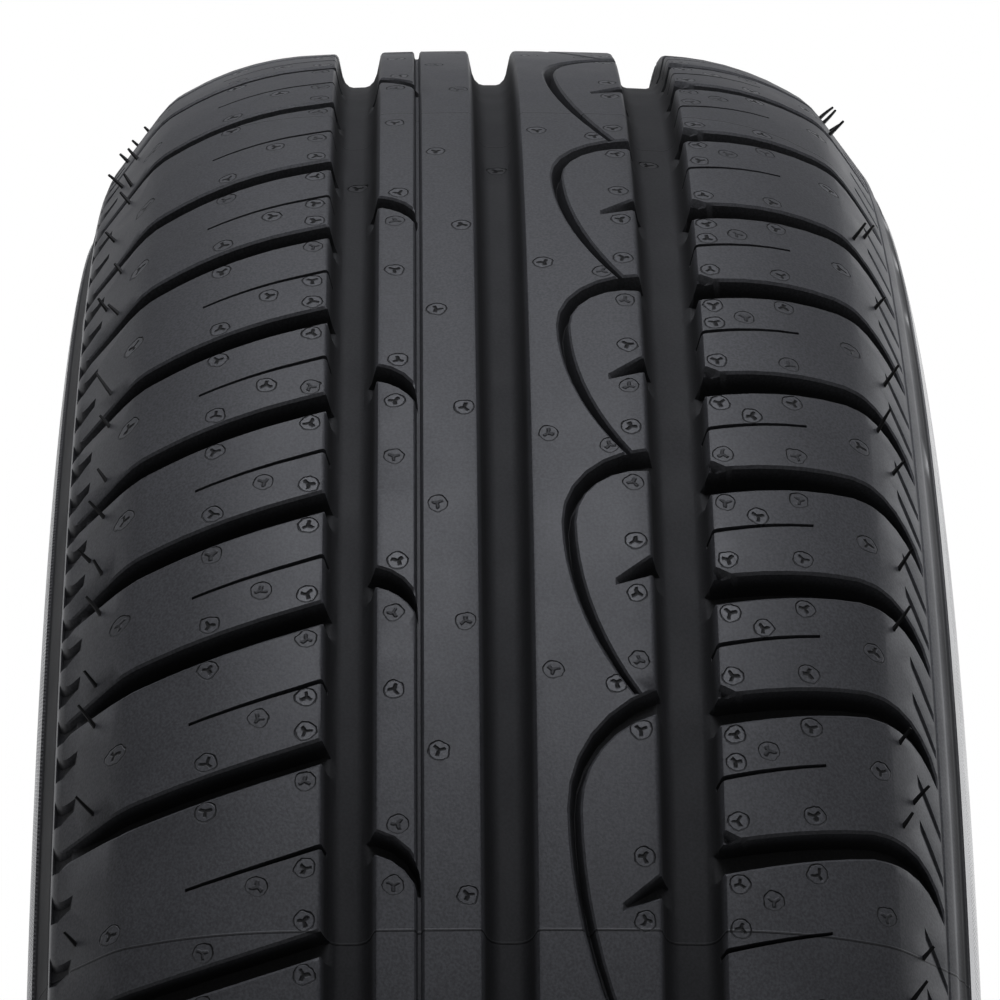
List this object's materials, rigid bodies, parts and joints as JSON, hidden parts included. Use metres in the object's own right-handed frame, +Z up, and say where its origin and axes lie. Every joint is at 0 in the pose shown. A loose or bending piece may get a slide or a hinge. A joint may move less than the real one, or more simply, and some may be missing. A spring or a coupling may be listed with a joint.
{
  "type": "car tyre",
  "caption": "Tubeless radial road tyre with an asymmetric tread: plain and scalloped ribs, wide grooves round it and curved cross grooves over both shoulders. Fits over a drop-centre rim.",
  "frame": {"origin": "centre of the tyre, on its spin axis and midway between its sidewalls", "axes": "+Y along the spin axis, towards the shoulder with the hooked cross grooves; +Z up; the picture looks along -X"},
  "size_m": [0.6207, 0.189, 0.6208],
  "materials": {
    "rubber": "matt black moulded rubber"
  },
  "bodies": {
    "root": {"tyre": "rubber"}
  },
  "joints": []
}
